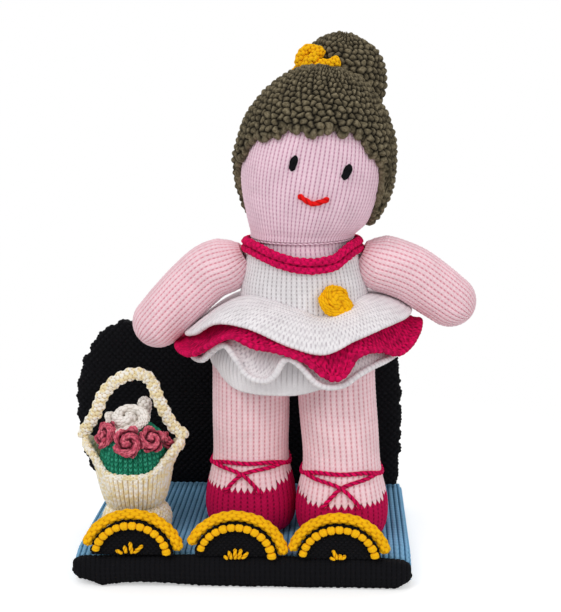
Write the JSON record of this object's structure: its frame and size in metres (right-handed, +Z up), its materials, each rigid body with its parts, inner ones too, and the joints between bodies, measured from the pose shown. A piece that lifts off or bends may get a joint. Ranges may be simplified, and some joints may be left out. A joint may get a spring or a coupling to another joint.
{
  "type": "knitted doll",
  "caption": "Stuffed hand-knitted dancer doll in a frilled skirt, sewn by the feet to a padded knitted stage with a backdrop, footlights and a flower basket.",
  "frame": {"origin": "centre of the knitted stage's flat underside", "axes": "+Z up, +X to the right of someone facing the doll, +Y towards the backdrop; the doll faces -Y"},
  "size_m": [0.2747, 0.148, 0.3436],
  "materials": {
    "blue_knit": "matte",
    "black_knit": "matte",
    "gold_knit": "matte",
    "cream_knit": "matte",
    "green_knit": "matte",
    "rose_knit": "matte",
    "white_knit": "matte",
    "pink_knit": "matte",
    "crimson_knit": "matte",
    "red_thread": "matte",
    "brown_knit": "matte",
    "wadding": "matte"
  },
  "bodies": {
    "stage": {"stage_underside": "black_knit", "stage_core": "wadding", "stage_cover": "blue_knit", "front_band": "black_knit", "backdrop_skin": "black_knit", "backdrop_filling": "wadding", "light_1_pad": "black_knit", "light_1_rim": "gold_knit", "light_1_beads": "gold_knit", "light_1_rays": "gold_knit", "light_2_pad": "black_knit", "light_2_rim": "gold_knit", "light_2_beads": "gold_knit", "light_2_rays": "gold_knit", "light_3_pad": "black_knit", "light_3_rim": "gold_knit", "light_3_beads": "gold_knit", "light_3_rays": "gold_knit", "basket_pedestal": "cream_knit", "basket_body": "cream_knit", "basket_foliage": "green_knit", "pink_rose_1": "rose_knit", "pink_rose_2": "rose_knit", "pink_rose_3": "rose_knit", "pink_rose_4": "rose_knit", "white_rose": "white_knit", "white_bud": "white_knit", "leg_left_skin": "pink_knit", "leg_left_filling": "wadding", "shoe_left": "crimson_knit", "ankle_ribbon_left": "crimson_knit", "leg_right_skin": "pink_knit", "leg_right_filling": "wadding", "shoe_right": "crimson_knit", "ankle_ribbon_right": "crimson_knit", "torso_skin": "pink_knit", "torso_filling": "wadding", "bodice": "white_knit", "collar": "crimson_knit", "skirt_top_tier": "white_knit", "skirt_middle_tier": "crimson_knit", "skirt_bottom_tier": "white_knit", "petticoat": "white_knit", "waist_rosette": "gold_knit"},
    "neck": {"neck_thread": "pink_knit"},
    "head": {"head_skin": "pink_knit", "head_filling": "wadding", "hair": "brown_knit", "hair_bun": "brown_knit", "bun_band": "gold_knit", "eye_left": "black_knit", "eye_right": "black_knit", "mouth": "red_thread"},
    "arm_left": {"arm_left_skin": "pink_knit", "arm_left_filling": "wadding"},
    "arm_right": {"arm_right_skin": "pink_knit", "arm_right_filling": "wadding"},
    "handle": {"basket_handle": "cream_knit"}
  },
  "joints": [
    {"name": "head_tilt", "type": "hinge", "parent": "stage", "child": "neck", "pos_m": [0.0388, -0.019, 0.2113], "axis": [0, 1, 0], "range_deg": [-7, 3], "stiffness_Nm_per_rad": 0.5},
    {"name": "head_turn", "type": "hinge", "parent": "neck", "child": "head", "pos_m": [0.0388, -0.019, 0.2113], "axis": [0, 0, 1], "range_deg": [-30, 30], "stiffness_Nm_per_rad": 0.5},
    {"name": "arm_left_raise", "type": "hinge", "parent": "stage", "child": "arm_left", "pos_m": [0.001, -0.02, 0.2037], "axis": [0, 1, 0], "range_deg": [0, 35], "stiffness_Nm_per_rad": 0.02},
    {"name": "arm_right_raise", "type": "hinge", "parent": "stage", "child": "arm_right", "pos_m": [0.0772, -0.02, 0.2045], "axis": [0, -1, 0], "range_deg": [0, 30], "stiffness_Nm_per_rad": 0.02},
    {"name": "handle_swing", "type": "hinge", "parent": "stage", "child": "handle", "pos_m": [-0.0725, -0.03, 0.0874], "axis": [1, 0, 0], "range_deg": [-45, 45], "stiffness_Nm_per_rad": 0.005}
  ]
}
